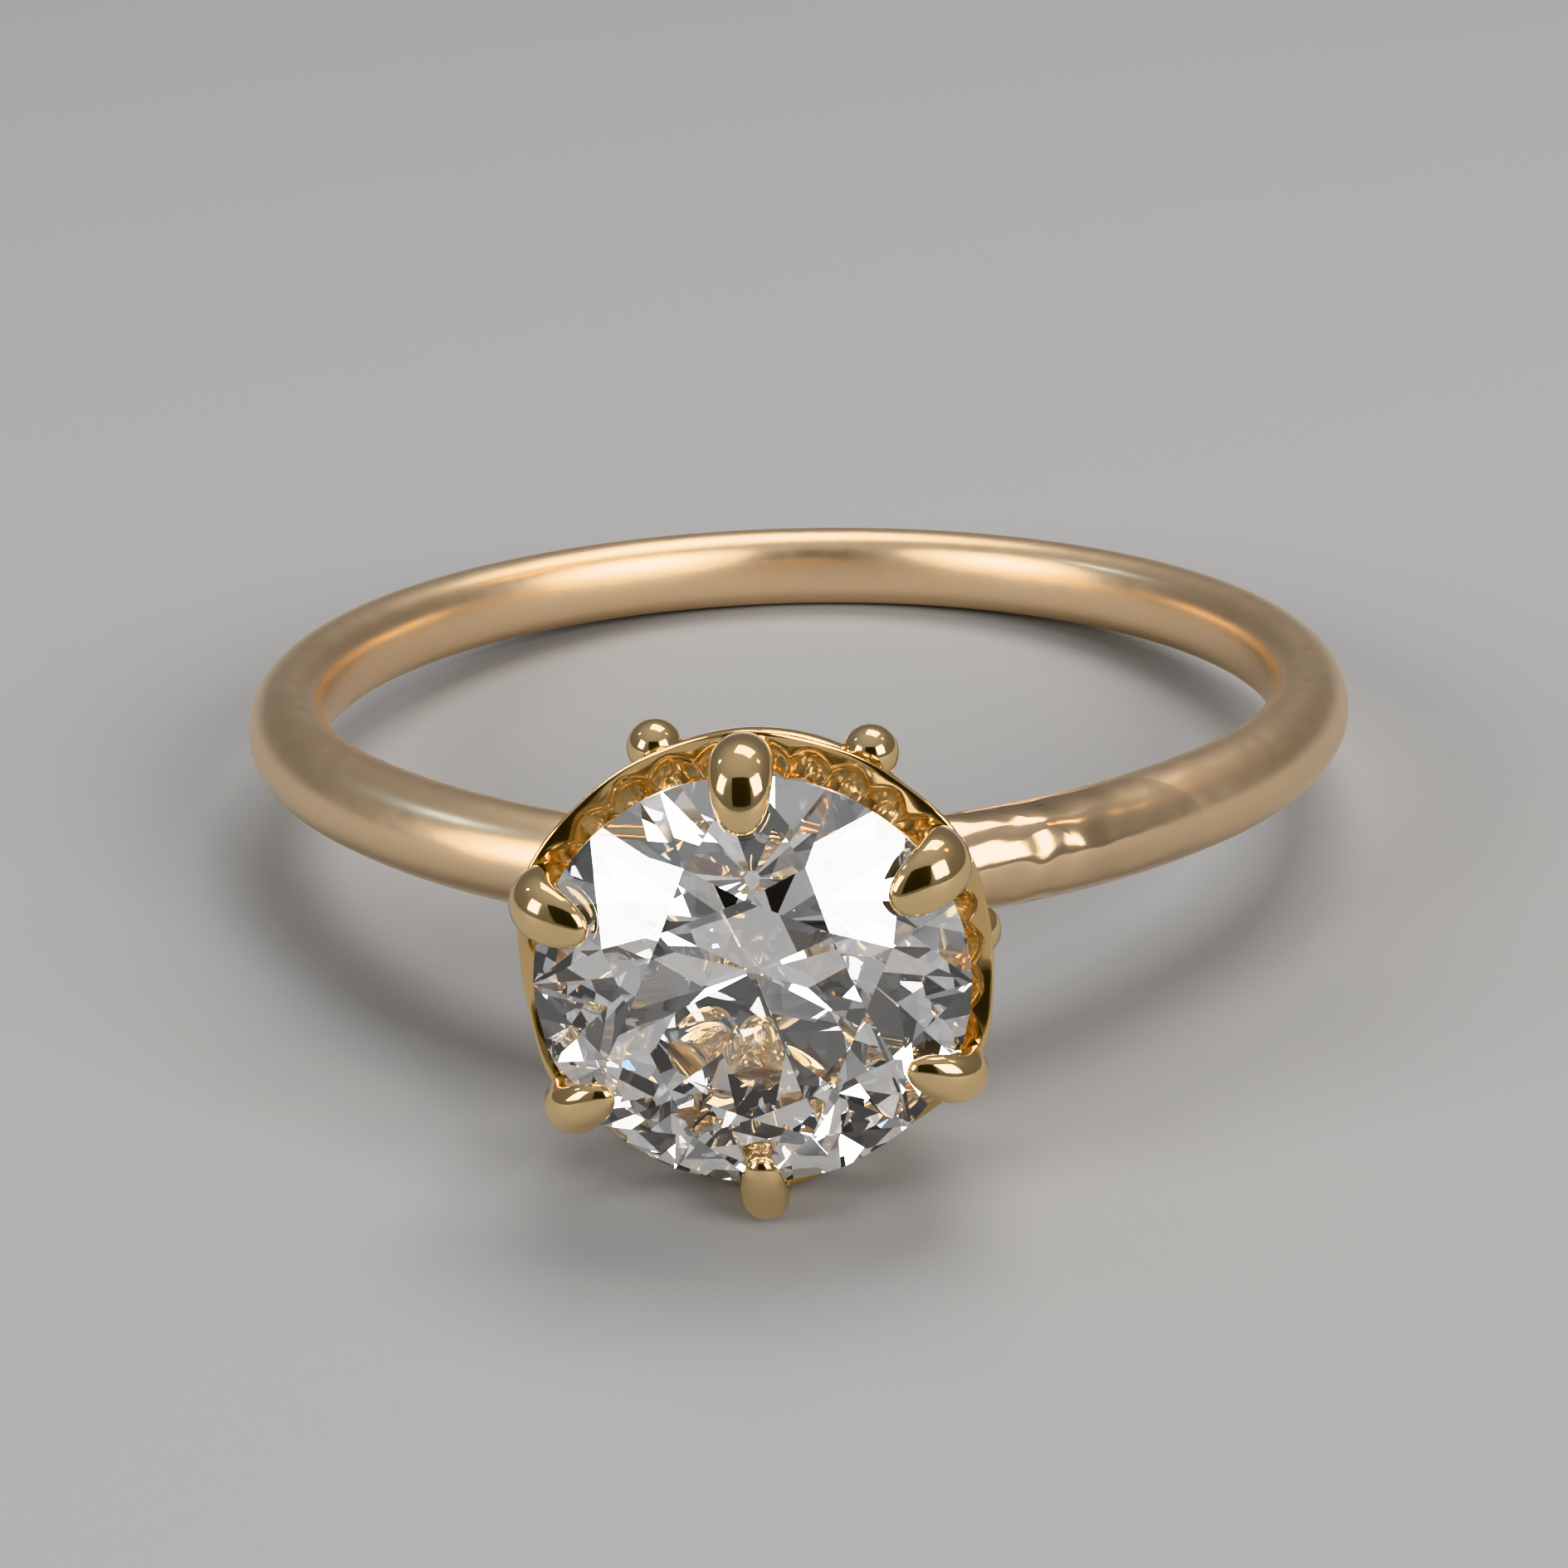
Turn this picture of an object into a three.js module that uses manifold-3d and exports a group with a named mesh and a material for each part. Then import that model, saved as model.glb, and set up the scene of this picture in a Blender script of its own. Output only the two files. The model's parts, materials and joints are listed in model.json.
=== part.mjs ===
// Six-claw solitaire ring, millimetres, +Z up, lying as it rests on a table: the back of the hoop
// and the lowest claw touch z = 0 and the stone looks along -Y, tipped up a little.
import * as THREE from 'three';
import { mergeVertices } from 'three/addons/utils/BufferGeometryUtils.js';
import Module from 'manifold-3d';

const wasm = await Module();
wasm.setup();

// Hoop. Angles along it are measured in degrees from the head, positive towards +X.
const FINGER_RADIUS = 8.49;
const BAR_THICKNESS = 1.37;
const BAR_WIDTH = 1.58;
const INNER_FLATTENING = 0.8;
const SHOULDER_START = 47;
const SHOULDER_END = 8;
const SHOULDER_RISE = 0.5;
const SHOULDER_SWEEP = 1.4;

// Stone: a round old-style brilliant with an open culet.
const STONE_RADIUS = 3.05;
const TABLE_RADIUS = 1.61;
const CROWN_HEIGHT = 0.95;
const GIRDLE_THICKNESS = 0.09;
const PAVILION_DEPTH = 2.6;
const CULET_RADIUS = 0.1;
const STAR_LENGTH = 0.42;
const LOWER_HALF_LENGTH = 0.62;
const FACET_FOLD = 8;
const CULET_LIFT = 1.22;

// Head: a collet under the stone, six claws rising from it, a rail with beads round them,
// and a scalloped wall that ties the claws together below the girdle.
const COLLET_RADIUS = 1.55;
const COLLET_HOLE_RADIUS = 1.0;
const COLLET_FLARE = 0.3;
const COLLET_RISE = 0.45;
const CLAW_ANGLES = [91, 157, 215, 272, 335, 394];
const CLAW_FOOT_WIDTH = 0.52;
const CLAW_BULB_WIDTH = 0.82;
const CLAW_TIP_WIDTH = 0.34;
const CLAW_TIP_ROUNDING = 0.07;
const CLAW_TIP_BLUNTNESS = 0.1;
const CLAW_THICKNESS = 0.5;
const CLAW_BULB_THICKNESS = 0.74;
const CLAW_TIP_THICKNESS = 0.26;
const CLAW_REACH = 0.6;
const CLAW_TOP = 0.42;
const CLAW_TIP_RISE = 0.09;
const CLAW_BROW_INSET = 0.12;
const CLAW_BROW_DROP = 0.05;
const CLAW_STANDOFF = 0.16;
const CLAW_BULB_LIFT = 0.12;
const CLAW_NECK_INSET = 0.12;
const CLAW_NECK_DROP = 0.55;
const CLAW_WAIST_SHARE = 0.57;
const CLAW_FOOT_INSET = 0.35;
const CLAW_SWELL_FROM = 0.5;
const CLAW_SWELL_TO = 0.76;
const CLAW_TAPER_FROM = 0.78;
const RAIL_DROP = 2.25;
const RAIL_HEIGHT = 0.4;
const RAIL_THICKNESS = 0.34;
const RAIL_STANDOFF = 0.02;
const BEAD_RADIUS = 0.41;
const BEAD_STANDOFF = 0.2;
const FIRST_BEAD_ANGLE = 118;
const WALL_DROP = 1.42;
const WALL_THICKNESS = 0.28;
const WALL_OVERHANG = 0.34;
const WALL_CORNER = 0.11;
const WALL_CORNER_SHARPNESS = 1.5;
const WALL_FLARE = 0.34;
const WALL_INNER_FLARE = 0.85;
const WALL_PEAK = 0.62;
const SCALLOP_DEPTH = 0.26;
const SCALLOP_RADIUS = 3.1;
const FLUTES_PER_SPAN = 5;
const FLUTE_DEPTH = 0.14;

// Clearance left between pieces that the solder or the setting closes.
const JOINT_GAP = 0.02;

const GOLD = 0xd9b27c;
const DIAMOND = 0xe9ecf0;

const OUTER_BULGE = BAR_THICKNESS / (1 + INNER_FLATTENING);
const HOOP_RADIUS = FINGER_RADIUS + INNER_FLATTENING * OUTER_BULGE;
const HOOP_OUTER_RADIUS = FINGER_RADIUS + BAR_THICKNESS;
const GIRDLE_LEVEL = HOOP_OUTER_RADIUS + CULET_LIFT + PAVILION_DEPTH + GIRDLE_THICKNESS / 2;
const COLLET_TOP = HOOP_OUTER_RADIUS + COLLET_RISE;
const RAIL_LEVEL = GIRDLE_LEVEL - RAIL_DROP;
const WALL_BASE = GIRDLE_LEVEL - WALL_DROP;
const WALL_TOP = GIRDLE_LEVEL - WALL_PEAK;

const rad = THREE.MathUtils.degToRad;

// ---- solids ----

function solid(geometry) {
  const bare = geometry.clone();
  bare.deleteAttribute('normal');
  bare.deleteAttribute('uv');
  const merged = mergeVertices(bare, 1e-4);
  return new wasm.Manifold(new wasm.Mesh({
    numProp: 3,
    vertProperties: new Float32Array(merged.attributes.position.array),
    triVerts: new Uint32Array(merged.index.array),
  }));
}

function geometryOf(manifold) {
  const mesh = manifold.getMesh();
  const geometry = new THREE.BufferGeometry();
  geometry.setAttribute('position', new THREE.BufferAttribute(mesh.vertProperties, 3));
  geometry.setIndex(new THREE.BufferAttribute(mesh.triVerts, 1));
  geometry.computeVertexNormals();
  return geometry;
}

// A closed bar of round rings: place(point) moves each vertex of a unit cylinder, whose
// x and z run round the ring and whose y, made 0 to 1, runs along the bar.
function bar(sides, steps, place) {
  const geometry = new THREE.CylinderGeometry(1, 1, 1, sides, steps);
  geometry.translate(0, 0.5, 0);
  const position = geometry.attributes.position;
  const point = new THREE.Vector3();
  for (let i = 0; i < position.count; i += 1) {
    place(point.fromBufferAttribute(position, i));
    position.setXYZ(i, point.x, point.y, point.z);
  }
  return geometry;
}

// ---- hoop: the stone axis is -Y here and the finger runs along Z ----

// A stretch of hoop from one angle to another, whose widest line is raised by lift(angle). Its
// outside is half an ellipse, and its inside is flatter.
function hoopBar(from, to, steps, lift) {
  return bar(18, steps, (point) => {
    const outward = point.x < 0 ? point.x * INNER_FLATTENING ** (point.x * point.x) : point.x;
    const angle = THREE.MathUtils.lerp(from, to, point.y);
    const radius = HOOP_RADIUS + lift(angle) + outward * OUTER_BULGE;
    const across = point.z * BAR_WIDTH / 2;
    point.set(radius * Math.sin(rad(angle)), -radius * Math.cos(rad(angle)), across);
  });
}

function shankGeometry() {
  const seam = THREE.MathUtils.radToDeg(JOINT_GAP / HOOP_RADIUS) / 2;
  return hoopBar(SHOULDER_START + seam, 360 - SHOULDER_START - seam, 54, () => 0);
}

// A shoulder sweeps outwards to meet the collet's side.
function shoulderLift(angle) {
  const along = (SHOULDER_START - Math.abs(angle)) / (SHOULDER_START - SHOULDER_END);
  return SHOULDER_RISE * along ** SHOULDER_SWEEP;
}

function shoulderGeometry(side) {
  const seam = THREE.MathUtils.radToDeg(JOINT_GAP / HOOP_RADIUS) / 2;
  const near = side * SHOULDER_END;
  const far = side * (SHOULDER_START - seam);
  const rough = hoopBar(Math.min(near, far), Math.max(near, far), 12, shoulderLift);
  return geometryOf(solid(rough)
    .subtract(inRing(colletCore(JOINT_GAP)))
    .subtract(inRing(allClaws(JOINT_GAP))));
}

// ---- head: here the stone axis is +Z, measured from the middle of the finger hole ----

// The turn that carries the head's own axes into the hoop's.
const headTurn = new THREE.Matrix4().makeRotationX(rad(90));

function inRing(manifold) {
  return manifold.transform(headTurn.toArray());
}

function lathe(profile, segments) {
  const points = profile.map(([radius, level]) => new THREE.Vector2(radius, level));
  return new THREE.LatheGeometry(points, segments).rotateX(rad(90));
}

// Everything inside the collet's outer surface, grown by a clearance.
function colletCore(grow) {
  const waist = COLLET_RADIUS + grow;
  const rim = COLLET_RADIUS + COLLET_FLARE + grow;
  return solid(lathe([[0, 0], [waist, 0], [waist, HOOP_OUTER_RADIUS], [rim, COLLET_TOP + grow],
    [0, COLLET_TOP + grow]], 40));
}

function colletGeometry() {
  const bore = solid(lathe([[0, 0], [COLLET_HOLE_RADIUS, 0],
    [COLLET_HOLE_RADIUS + COLLET_FLARE, COLLET_TOP + 1], [0, COLLET_TOP + 1]], 40));
  const finger = solid(new THREE.CylinderGeometry(FINGER_RADIUS, FINGER_RADIUS, 4 * COLLET_RADIUS, 160));
  return geometryOf(colletCore(0).subtract(bore).subtract(finger));
}

// The claws' middle line, as radius and level, from foot to tip.
const CLAW_FOOT_RADIUS = COLLET_RADIUS + COLLET_FLARE - CLAW_FOOT_INSET;
const CLAW_BULB_RADIUS = STONE_RADIUS + CLAW_STANDOFF;
const CLAW_NECK_RADIUS = CLAW_BULB_RADIUS - CLAW_NECK_INSET;
const CLAW_WAIST_RADIUS = THREE.MathUtils.lerp(CLAW_FOOT_RADIUS, CLAW_NECK_RADIUS, CLAW_WAIST_SHARE);
const clawLine = new THREE.SplineCurve([
  new THREE.Vector2(CLAW_FOOT_RADIUS - COLLET_FLARE, COLLET_TOP - COLLET_RISE / 2),
  new THREE.Vector2(CLAW_FOOT_RADIUS, COLLET_TOP),
  new THREE.Vector2(CLAW_WAIST_RADIUS, RAIL_LEVEL),
  new THREE.Vector2(CLAW_NECK_RADIUS, GIRDLE_LEVEL - CLAW_NECK_DROP),
  new THREE.Vector2(CLAW_BULB_RADIUS, GIRDLE_LEVEL + CLAW_BULB_LIFT),
  new THREE.Vector2(STONE_RADIUS - CLAW_BROW_INSET, GIRDLE_LEVEL + CLAW_TOP - CLAW_BROW_DROP),
  new THREE.Vector2(STONE_RADIUS - CLAW_REACH, GIRDLE_LEVEL + CLAW_TOP + CLAW_TIP_RISE),
]);

// A claw's width and thickness along its line, 0 at the foot and 1 at the tip.
function clawSection(along) {
  const swell = THREE.MathUtils.smoothstep(along, CLAW_SWELL_FROM, CLAW_SWELL_TO);
  const taper = THREE.MathUtils.smoothstep(along, CLAW_TAPER_FROM, 1);
  const width = THREE.MathUtils.lerp(CLAW_FOOT_WIDTH, CLAW_BULB_WIDTH, swell);
  const thickness = THREE.MathUtils.lerp(CLAW_THICKNESS, CLAW_BULB_THICKNESS, swell);
  const end = Math.max(0, (along - 1) / CLAW_TIP_ROUNDING + 1);
  const rounding = Math.sqrt(1 - (1 - CLAW_TIP_BLUNTNESS) * end * end);
  return [rounding * THREE.MathUtils.lerp(width, CLAW_TIP_WIDTH, taper),
    rounding * THREE.MathUtils.lerp(thickness, CLAW_TIP_THICKNESS, taper)];
}

function clawBar(grow) {
  return bar(10, 28, (point) => {
    const [width, thickness] = clawSection(point.y);
    const middle = clawLine.getPointAt(point.y);
    const tangent = clawLine.getTangentAt(point.y);
    const outward = point.x * (thickness / 2 + grow);
    point.set(
      middle.x + outward * tangent.y,
      -point.z * (width / 2 + grow),
      middle.y - outward * tangent.x,
    );
  });
}

// A whole claw in its place, grown by a clearance and moved in towards the stone's axis.
function clawAt(angle, grow, inward = 0) {
  return solid(clawBar(grow)).translate([-inward, 0, 0]).rotate([0, 0, angle]);
}

function allClaws(grow, inward = 0) {
  return wasm.Manifold.union(CLAW_ANGLES.map((angle) => clawAt(angle, grow, inward)));
}

// The stone's notch, the crown facet and the collet's top trim each claw to fit.
function clawGeometry(angle) {
  return geometryOf(clawAt(angle, 0)
    .subtract(stoneSolid(JOINT_GAP))
    .subtract(colletCore(JOINT_GAP)));
}

const RAIL_RADIUS = CLAW_WAIST_RADIUS + CLAW_THICKNESS / 2 + RAIL_THICKNESS / 2 + RAIL_STANDOFF;

function railSolid(grow) {
  const outline = [];
  for (let i = 0; i <= 8; i += 1) {
    const turn = (i % 8) * rad(45);
    outline.push([RAIL_RADIUS + (RAIL_THICKNESS / 2 + grow) * Math.cos(turn),
      RAIL_LEVEL + (RAIL_HEIGHT / 2 + grow) * Math.sin(turn)]);
  }
  return solid(lathe(outline, 48));
}

function railGeometry() {
  return geometryOf(railSolid(0).subtract(allClaws(JOINT_GAP)));
}

// The direction halfway from one claw to the next.
function spanMiddle(index) {
  const last = index === CLAW_ANGLES.length - 1;
  const next = last ? CLAW_ANGLES[0] + 360 : CLAW_ANGLES[index + 1];
  return (CLAW_ANGLES[index] + next) / 2;
}

function beadGeometry(index) {
  const bead = new THREE.IcosahedronGeometry(BEAD_RADIUS, 1);
  bead.translate(RAIL_RADIUS + BEAD_STANDOFF, 0, RAIL_LEVEL);
  bead.rotateZ(rad(FIRST_BEAD_ANGLE + index * 360 / CLAW_ANGLES.length));
  return geometryOf(solid(bead).subtract(railSolid(JOINT_GAP)));
}

// How far round its span a direction lies: 0 or 1 at a claw, a half midway.
function spanShare(angle) {
  for (let i = 0; i < CLAW_ANGLES.length; i += 1) {
    const from = CLAW_ANGLES[i];
    const wide = 2 * (spanMiddle(i) - from);
    const past = THREE.MathUtils.euclideanModulo(angle - from, 360);
    if (past < wide) {
      return past / wide;
    }
  }
  return 0;
}

// The plan of the wall's rim: out to a corner at each claw.
function wallRadius(angle) {
  const corner = (1 + Math.cos(2 * Math.PI * spanShare(angle))) / 2;
  return STONE_RADIUS + WALL_OVERHANG + WALL_CORNER * corner ** WALL_CORNER_SHARPNESS;
}

function wallInnerRadius(angle) {
  const flute = (1 + Math.cos(2 * Math.PI * FLUTES_PER_SPAN * spanShare(angle))) / 2;
  return wallRadius(angle) - WALL_THICKNESS + FLUTE_DEPTH * (1 - flute) ** 2 - FLUTE_DEPTH / 2;
}

function loop(radiusAt, steps) {
  const points = [];
  for (let i = 0; i < steps; i += 1) {
    const angle = (360 * i) / steps;
    const radius = radiusAt(angle);
    points.push(new THREE.Vector2(radius * Math.cos(rad(angle)), radius * Math.sin(rad(angle))));
  }
  return points;
}

// A block with the wall's height on a plan, drawn in by a flare from its rim to its base.
function flaredBlock(radiusAt, steps, flare) {
  const height = WALL_TOP - WALL_BASE;
  const block = new THREE.ExtrudeGeometry(new THREE.Shape(loop(radiusAt, steps)),
    { depth: height, bevelEnabled: false, steps: 1 });
  const position = block.attributes.position;
  for (let i = 0; i < position.count; i += 1) {
    const share = 1 - flare * (height - position.getZ(i)) / STONE_RADIUS;
    position.setXY(i, position.getX(i) * share, position.getY(i) * share);
  }
  return solid(block.translate(0, 0, WALL_BASE));
}

// The scallop between two claws, as the radial cylinder that cuts it.
function scallopCutter(index) {
  const length = 2 * STONE_RADIUS;
  const cutter = new THREE.CylinderGeometry(SCALLOP_RADIUS, SCALLOP_RADIUS, length, 64);
  cutter.rotateZ(rad(90));
  cutter.translate(length / 2 + STONE_RADIUS / 2, 0, WALL_TOP - SCALLOP_DEPTH + SCALLOP_RADIUS);
  cutter.rotateZ(rad(spanMiddle(index)));
  return solid(cutter);
}

function wallGeometry() {
  let wall = flaredBlock(wallRadius, 72, WALL_FLARE)
    .subtract(flaredBlock(wallInnerRadius, 216, WALL_INNER_FLARE))
    .subtract(allClaws(JOINT_GAP))
    .subtract(allClaws(0, WALL_THICKNESS));
  CLAW_ANGLES.forEach((_, index) => {
    wall = wall.subtract(scallopCutter(index));
  });
  return geometryOf(wall);
}

// ---- stone ----

// A point of the stone by radius, direction in degrees and height over the girdle's middle.
function stonePoint(radius, angle, height) {
  return new THREE.Vector3(radius * Math.cos(rad(angle)), radius * Math.sin(rad(angle)), height);
}

// Grinds the stone flat to the plane through three of its points, leaving a clearance.
function grind(stone, [a, b, c], grow) {
  const plane = new THREE.Plane().setFromCoplanarPoints(a, b, c);
  if (plane.distanceToPoint(new THREE.Vector3()) < 0) {
    plane.negate();
  }
  return stone.trimByPlane(plane.normal.toArray(), -plane.constant - grow);
}

function stoneSolid(grow) {
  const half = GIRDLE_THICKNESS / 2;
  const fold = 360 / FACET_FOLD;
  const flat = Math.cos(rad(fold / 2));
  const starRadius = TABLE_RADIUS * flat + STAR_LENGTH * (STONE_RADIUS - TABLE_RADIUS * flat);
  const crownSlope = CROWN_HEIGHT / (STONE_RADIUS - TABLE_RADIUS);
  const starHeight = half + crownSlope * (STONE_RADIUS - starRadius * flat);
  const lowerRadius = STONE_RADIUS * (1 - LOWER_HALF_LENGTH);
  const pavilionSlope = PAVILION_DEPTH / STONE_RADIUS;
  const lowerHeight = -half - pavilionSlope * (STONE_RADIUS - lowerRadius * flat);
  const tall = 2 * (CROWN_HEIGHT + PAVILION_DEPTH);
  const blank = new THREE.CylinderGeometry(STONE_RADIUS + grow, STONE_RADIUS + grow, tall, 64);
  let stone = solid(blank.rotateX(rad(90)));
  const table = half + CROWN_HEIGHT;
  const culet = -half - PAVILION_DEPTH + pavilionSlope * CULET_RADIUS;
  for (const height of [table, culet]) {
    stone = grind(stone, [0, 90, 180].map((angle) => stonePoint(1, angle, height)), grow);
  }
  for (let i = 0; i < FACET_FOLD; i += 1) {
    const main = i * fold;
    const next = main + fold;
    const between = main + fold / 2;
    const star = stonePoint(starRadius, between, starHeight);
    const lower = stonePoint(lowerRadius, between, lowerHeight);
    const facets = [
      [stonePoint(TABLE_RADIUS, main, table), star,
        stonePoint(starRadius, main - fold / 2, starHeight)],
      [stonePoint(TABLE_RADIUS, main, table), stonePoint(TABLE_RADIUS, next, table), star],
      [lower, stonePoint(lowerRadius, main - fold / 2, lowerHeight),
        stonePoint(STONE_RADIUS, main, -half)],
    ];
    for (const side of [main, next]) {
      facets.push([star, stonePoint(STONE_RADIUS, side, half), stonePoint(STONE_RADIUS, between, half)]);
      facets.push([lower, stonePoint(STONE_RADIUS, side, -half), stonePoint(STONE_RADIUS, between, -half)]);
    }
    for (const facet of facets) {
      stone = grind(stone, facet, grow);
    }
  }
  return stone.translate([0, 0, GIRDLE_LEVEL]);
}

// ---- assembly ----

function gold() {
  return new THREE.MeshStandardMaterial({ color: GOLD, roughness: 0.18, metalness: 1 });
}

function diamond() {
  return new THREE.MeshStandardMaterial({ color: DIAMOND, roughness: 0.02, metalness: 0 });
}

function piece(name, geometry, material) {
  const mesh = new THREE.Mesh(geometry, material);
  mesh.name = name;
  return mesh;
}

const head = new THREE.Group();
head.rotation.x = rad(90);
head.add(piece('base_collet', colletGeometry(), gold()));
head.add(piece('gallery_rail', railGeometry(), gold()));
head.add(piece('crown_wall', wallGeometry(), gold()));
head.add(piece('centre_stone', geometryOf(stoneSolid(0)), diamond()));
CLAW_ANGLES.forEach((angle, index) => {
  head.add(piece(`claw_${index + 1}`, clawGeometry(angle), gold()));
  head.add(piece(`bead_${index + 1}`, beadGeometry(index), gold()));
});

const ring = new THREE.Group();
ring.add(piece('shank', shankGeometry(), gold()));
ring.add(piece('left_shoulder', shoulderGeometry(-1), gold()));
ring.add(piece('right_shoulder', shoulderGeometry(1), gold()));
ring.add(head);

// Laid down, the head is lifted until the lowest claw and the back of the hoop are level.
const lowestHead = CLAW_BULB_RADIUS + CLAW_BULB_THICKNESS / 2;
const restTilt = Math.atan((lowestHead - BAR_WIDTH / 2) / (GIRDLE_LEVEL + HOOP_RADIUS));
ring.rotation.x = -restTilt;
ring.updateMatrixWorld(true);
const extent = new THREE.Box3().setFromObject(ring, true);
ring.position.set(
  -(extent.min.x + extent.max.x) / 2,
  -(extent.min.y + extent.max.y) / 2,
  -extent.min.z,
);

const part = new THREE.Group();
part.add(ring);

export default part;
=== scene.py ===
import json
import math

import bmesh
import bpy
from mathutils import Matrix, Vector


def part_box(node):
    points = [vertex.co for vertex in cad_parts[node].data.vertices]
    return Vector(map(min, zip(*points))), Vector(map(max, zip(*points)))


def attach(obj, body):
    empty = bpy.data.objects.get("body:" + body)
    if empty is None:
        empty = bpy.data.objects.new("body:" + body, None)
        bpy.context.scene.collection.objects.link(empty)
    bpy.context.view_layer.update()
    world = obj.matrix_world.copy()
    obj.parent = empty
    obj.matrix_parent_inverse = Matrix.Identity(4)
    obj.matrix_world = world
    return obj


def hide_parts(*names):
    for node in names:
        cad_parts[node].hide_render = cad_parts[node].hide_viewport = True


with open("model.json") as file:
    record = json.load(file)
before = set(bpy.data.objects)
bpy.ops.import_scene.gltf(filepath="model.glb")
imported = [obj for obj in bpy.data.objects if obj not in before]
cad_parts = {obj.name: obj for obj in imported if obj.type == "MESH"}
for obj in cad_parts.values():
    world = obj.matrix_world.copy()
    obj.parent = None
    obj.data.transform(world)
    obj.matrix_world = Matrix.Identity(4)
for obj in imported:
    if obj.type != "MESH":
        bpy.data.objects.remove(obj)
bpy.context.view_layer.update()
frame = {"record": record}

# ---- sizes, in millimetres ----
# The head's own axes are used throughout: the origin is the middle of the finger hole, +Z is the
# stone's axis and Y runs along the finger. lay_down() turns a finished piece to where it rests.

MM = 0.001

BAR_THICKNESS = 1.37
BAR_WIDTH = 1.58
INNER_FLATTENING = 0.8
BAR_SIDES = 32
HOOP_STEPS = 160
SHOULDER_START = 47.0
SHOULDER_END = 8.0
SHOULDER_RISE = 0.5
SHOULDER_SWEEP = 1.4
SHOULDER_STEPS = 26

CROWN_HEIGHT = 0.95
GIRDLE_THICKNESS = 0.09
TABLE_RADIUS = 1.61
PAVILION_DEPTH = 2.6
CULET_RADIUS = 0.1
STAR_LENGTH = 0.42
LOWER_HALF_LENGTH = 0.62
FACET_FOLD = 8

# The collet closes the hoop under the stone and carries the claws' feet.
COLLET_RADIUS = 1.55
COLLET_HOLE_RADIUS = 1.0
COLLET_FLARE = 0.3
COLLET_RISE = 0.45
COLLET_NECK = 0.1
COLLET_FILLET = 0.06
COLLET_EDGE = 0.05
COLLET_EDGE_DROP = 0.03

# Six claws cast from one pattern, each filed to its own breadth. The pattern's stations run from
# foot to tip: radius, level over the girdle, width and thickness.
CLAW_ANGLES = (91, 157, 215, 272, 335, 394)
CLAW_BREADTHS = (1.0, 0.96, 0.86, 0.8, 0.84, 1.02)
CLAW_STATIONS = (
    (1.50, -3.45, 0.50, 0.48),
    (2.10, -2.62, 0.50, 0.50),
    (2.66, -1.78, 0.52, 0.50),
    (2.95, -1.15, 0.62, 0.58),
    (3.13, -0.60, 0.80, 0.70),
    (3.23, -0.15, 0.94, 0.80),
    (3.22, 0.16, 0.94, 0.78),
    (3.05, 0.38, 0.91, 0.62),
    (2.82, 0.49, 0.83, 0.46),
    (2.62, 0.55, 0.68, 0.36),
    (2.47, 0.58, 0.46, 0.26),
    (2.39, 0.57, 0.20, 0.12),
)
CLAW_SIDES = 12

# A wire rail with a bead between each two claws.
RAIL_DROP = 2.25
RAIL_RADIUS = 2.84
RAIL_THICKNESS = 0.34
RAIL_HEIGHT = 0.4
BEAD_RADIUS = 0.41
BEAD_STANDOFF = 0.25
BEAD_FLAT = 0.3
BEAD_FLATTENING = 0.8
FIRST_BEAD_ANGLE = 118

# The scalloped wall under the girdle, with flutes down its inside.
WALL_DROP = 1.42
WALL_PEAK = 0.62
WALL_THICKNESS = 0.3
WALL_OVERHANG = 0.34
WALL_CORNER = 0.12
WALL_CORNER_SHARPNESS = 1.5
WALL_FLARE = 0.34
WALL_INNER_FLARE = 0.95
SCALLOP_DEPTH = 0.28
SPAN_STEPS = 60
FLUTES_PER_SPAN = 5
FLUTE_DEPTH = 0.18
RIM_ROUNDING = 0.09

mounts = {mount["name"]: mount for mount in frame["record"]["mounts"]}
STONE_AXIS = Vector(mounts["table"]["axis"])
FINGER_AXIS = Vector(mounts["finger_hole"]["axis"])
RING_CENTRE = Vector(mounts["finger_hole"]["pos_m"])
TABLE_CENTRE = Vector(mounts["table"]["pos_m"])
SIDE_AXIS = FINGER_AXIS.cross(STONE_AXIS)


def half_width(node):
    """Half of a node's width along X, in millimetres."""
    lowest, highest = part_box(node)
    return (highest.x - lowest.x) / 2 / MM


HOOP_OUTER = half_width("shank")
OUTER_BULGE = BAR_THICKNESS / (1 + INNER_FLATTENING)
HOOP_RADIUS = HOOP_OUTER - OUTER_BULGE
STONE_RADIUS = half_width("centre_stone")
TABLE_LEVEL = (TABLE_CENTRE - RING_CENTRE).dot(STONE_AXIS) / MM
GIRDLE_LEVEL = TABLE_LEVEL - CROWN_HEIGHT - GIRDLE_THICKNESS / 2
HALF_GIRDLE = GIRDLE_THICKNESS / 2
FINGER_RADIUS = HOOP_RADIUS - INNER_FLATTENING * OUTER_BULGE
COLLET_TOP = HOOP_OUTER + COLLET_RISE
COLLET_RIM = COLLET_RADIUS + COLLET_FLARE
RAIL_LEVEL = GIRDLE_LEVEL - RAIL_DROP


def axes_at(x_axis, y_axis, z_axis, origin):
    return Matrix.Translation(origin) @ Matrix((x_axis, y_axis, z_axis)).transposed().to_4x4()


HEAD = axes_at(SIDE_AXIS, FINGER_AXIS, STONE_AXIS, RING_CENTRE) @ Matrix.Scale(MM, 4)


# ---- workshop ----

def clear_selection():
    if bpy.context.object and bpy.context.object.mode == "EDIT":
        bpy.ops.object.mode_set(mode="OBJECT")
    bpy.ops.object.select_all(action="DESELECT")


def take(piece):
    """Makes a piece the only one selected and the active one."""
    clear_selection()
    piece.select_set(True)
    bpy.context.view_layer.objects.active = piece


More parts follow.
